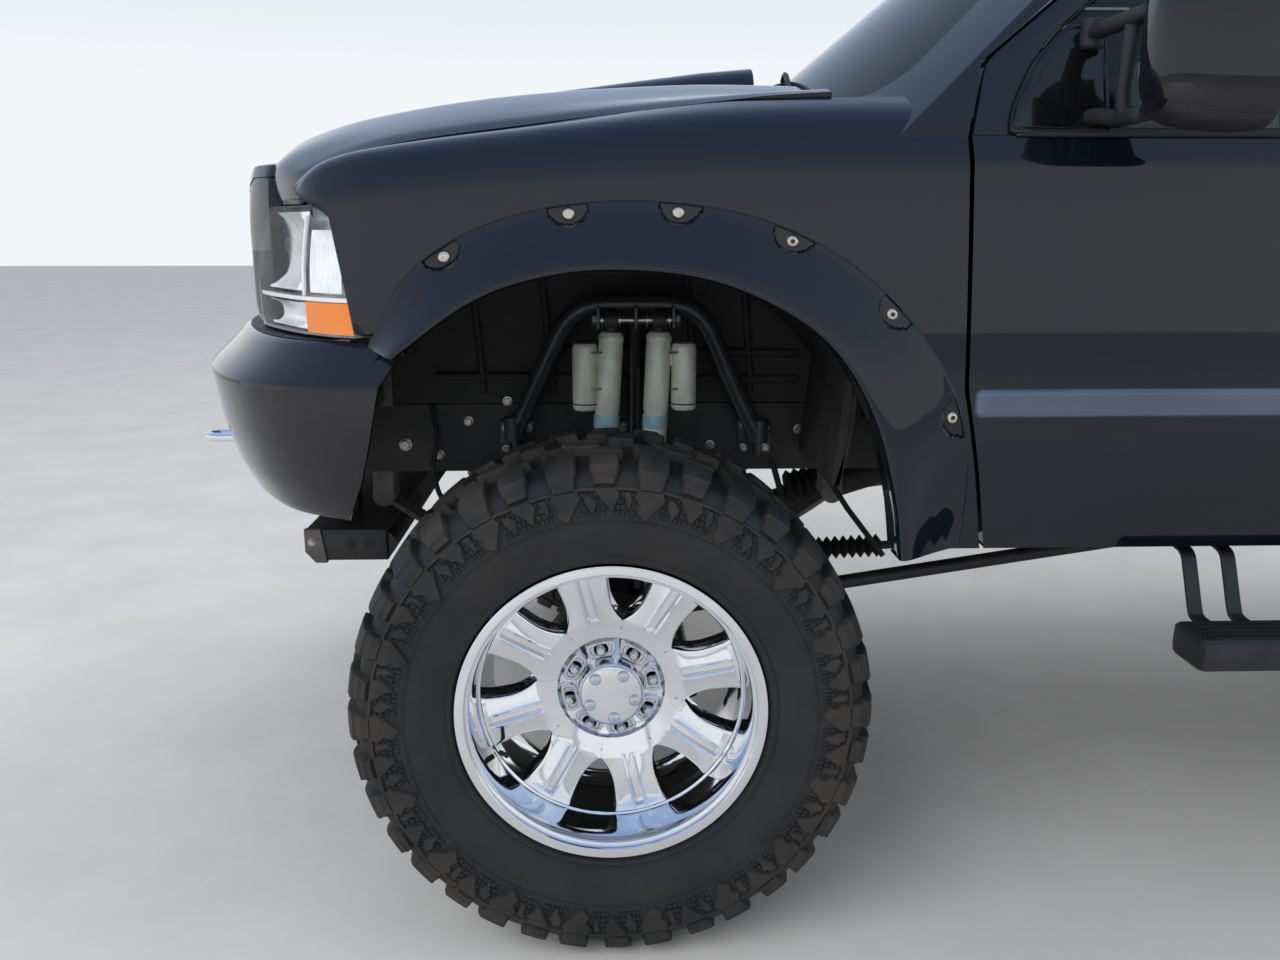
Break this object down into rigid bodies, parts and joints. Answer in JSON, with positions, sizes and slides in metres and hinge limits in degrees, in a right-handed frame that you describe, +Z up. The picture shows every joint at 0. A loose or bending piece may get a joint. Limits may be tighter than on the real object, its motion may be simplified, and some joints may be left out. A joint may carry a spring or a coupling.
{
  "type": "sport utility vehicle",
  "caption": "Lifted full-size sport utility vehicle with mud-terrain tyres on deep-lipped wheels, opening doors, hood and tail doors, and working steering.",
  "frame": {"origin": "on the ground, under the middle of the bounding box", "axes": "+X forward along the vehicle, +Y to its left, +Z up"},
  "size_m": [5.7503, 2.54, 2.286],
  "materials": {
    "black_trim": "satin",
    "body_paint": "gloss black",
    "cabin_plastic": "matt",
    "cast": "matt",
    "cloth": "woven",
    "frame_black": "satin chassis paint",
    "glass_clear": "clear",
    "glass_dark": "tinted",
    "gloss_black": "gloss",
    "lamp": "clear lens",
    "lamp_red": "gloss",
    "rim_metal": "polished",
    "shock_grey": "gloss silver grey",
    "steel": "satin",
    "tyre": "matt"
  },
  "bodies": {
    "chassis": {"frame_ladder": "frame_black", "roof_panel": "body_paint", "floor_pan": "frame_black", "body_side_left": "body_paint", "body_side_right": "body_paint", "cowl": "frame_black", "front_fenders": "body_paint", "fender_flares": "body_paint", "grille": "gloss_black", "headlamps": "lamp", "front_bumper": "body_paint", "blocker_beam": "frame_black", "side_steps": "frame_black", "fixed_glass": "glass_clear", "roof_rails": "black_trim", "tail_lamps": "lamp_red", "rear_bumper": "body_paint", "hitch": "frame_black", "front_axle": "cast", "rear_axle": "cast", "leaf_springs": "steel", "shock_hoops": "frame_black", "shocks": "shock_grey", "powertrain": "cast", "fuel_tank": "steel", "exhaust": "steel", "wheel_liners": "black_trim", "radiator": "steel", "dashboard": "cabin_plastic", "seats": "cloth", "traction_bars": "frame_black"},
    "hood": {"hood": "body_paint"},
    "door_front_left": {"door_front_left": "body_paint", "front_door_glass_left": "glass_clear", "mirror_left": "gloss_black"},
    "door_front_right": {"door_front_right": "body_paint", "front_door_glass_right": "glass_clear", "mirror_right": "gloss_black"},
    "door_rear_left": {"door_rear_left": "body_paint", "rear_door_glass_left": "glass_dark"},
    "door_rear_right": {"door_rear_right": "body_paint", "rear_door_glass_right": "glass_dark"},
    "liftgate": {"liftgate": "body_paint", "liftgate_glass": "glass_dark"},
    "barn_door_left": {"barn_door_left": "body_paint"},
    "barn_door_right": {"barn_door_right": "body_paint"},
    "knuckle_left": {"knuckle_left": "cast"},
    "knuckle_right": {"knuckle_right": "cast"},
    "tie_rod": {"tie_rod": "steel"},
    "steering_wheel": {"steering_wheel": "cabin_plastic"},
    "wheel_front_left": {"rim_front_left": "rim_metal", "tyre_front_left": "tyre"},
    "wheel_front_right": {"rim_front_right": "rim_metal", "tyre_front_right": "tyre"},
    "wheel_rear_left": {"rim_rear_left": "rim_metal", "tyre_rear_left": "tyre"},
    "wheel_rear_right": {"rim_rear_right": "rim_metal", "tyre_rear_right": "tyre"}
  },
  "joints": [
    {"name": "steer_left", "type": "hinge", "parent": "chassis", "child": "knuckle_left", "pos_m": [1.91, 0.74, 0.505], "axis": [0, 0, 1], "range_deg": [-28, 28]},
    {"name": "steer_right", "type": "hinge", "parent": "chassis", "child": "knuckle_right", "pos_m": [1.91, -0.74, 0.505], "axis": [0, 0, 1], "range_deg": [-28, 28]},
    {"name": "tie_rod_turn", "type": "hinge", "parent": "knuckle_left", "child": "tie_rod", "pos_m": [1.74, 0.74, 0.415], "axis": [0, 0, 1], "range_deg": [-28, 28]},
    {"name": "steering_wheel_turn", "type": "hinge", "parent": "chassis", "child": "steering_wheel", "pos_m": [0.91, 0.4, 1.495], "axis": [-0.9569, 0, 0.2903], "range_deg": [-480, 480]},
    {"name": "spin_front_left", "type": "hinge", "parent": "knuckle_left", "child": "wheel_front_left", "pos_m": [1.91, 0.924, 0.505], "axis": [0, 1, 0], "continuous": true},
    {"name": "spin_front_right", "type": "hinge", "parent": "knuckle_right", "child": "wheel_front_right", "pos_m": [1.91, -0.924, 0.505], "axis": [0, 1, 0], "continuous": true},
    {"name": "spin_rear_left", "type": "hinge", "parent": "chassis", "child": "wheel_rear_left", "pos_m": [-1.572, 0.924, 0.505], "axis": [0, 1, 0], "continuous": true},
    {"name": "spin_rear_right", "type": "hinge", "parent": "chassis", "child": "wheel_rear_right", "pos_m": [-1.572, -0.924, 0.505], "axis": [0, 1, 0], "continuous": true},
    {"name": "hood_lift", "type": "hinge", "parent": "chassis", "child": "hood", "pos_m": [1.486, 0, 1.66], "axis": [0, -1, 0], "range_deg": [0, 45]},
    {"name": "door_front_left_swing", "type": "hinge", "parent": "chassis", "child": "door_front_left", "pos_m": [1.259, 1.006, 1.3], "axis": [0, 0, -1], "range_deg": [0, 65]},
    {"name": "door_front_right_swing", "type": "hinge", "parent": "chassis", "child": "door_front_right", "pos_m": [1.259, -1.006, 1.3], "axis": [0, 0, 1], "range_deg": [0, 65]},
    {"name": "door_rear_left_swing", "type": "hinge", "parent": "chassis", "child": "door_rear_left", "pos_m": [0.166, 1.006, 1.3], "axis": [0, 0, -1], "range_deg": [0, 65]},
    {"name": "door_rear_right_swing", "type": "hinge", "parent": "chassis", "child": "door_rear_right", "pos_m": [0.166, -1.006, 1.3], "axis": [0, 0, 1], "range_deg": [0, 65]},
    {"name": "liftgate_lift", "type": "hinge", "parent": "chassis", "child": "liftgate", "pos_m": [-2.67, 0, 2.136], "axis": [0, 1, 0], "range_deg": [0, 92]},
    {"name": "barn_door_left_swing", "type": "hinge", "parent": "chassis", "child": "barn_door_left", "pos_m": [-2.774, 0.697, 1.3], "axis": [0, 0, -1], "range_deg": [0, 95]},
    {"name": "barn_door_right_swing", "type": "hinge", "parent": "chassis", "child": "barn_door_right", "pos_m": [-2.774, -0.697, 1.3], "axis": [0, 0, 1], "range_deg": [0, 95]}
  ],
  "couplings": [
    {"joint": "steer_right", "follows": "steer_left", "ratio": 1},
    {"joint": "tie_rod_turn", "follows": "steer_left", "ratio": -1},
    {"joint": "steering_wheel_turn", "follows": "steer_left", "ratio": 17}
  ]
}
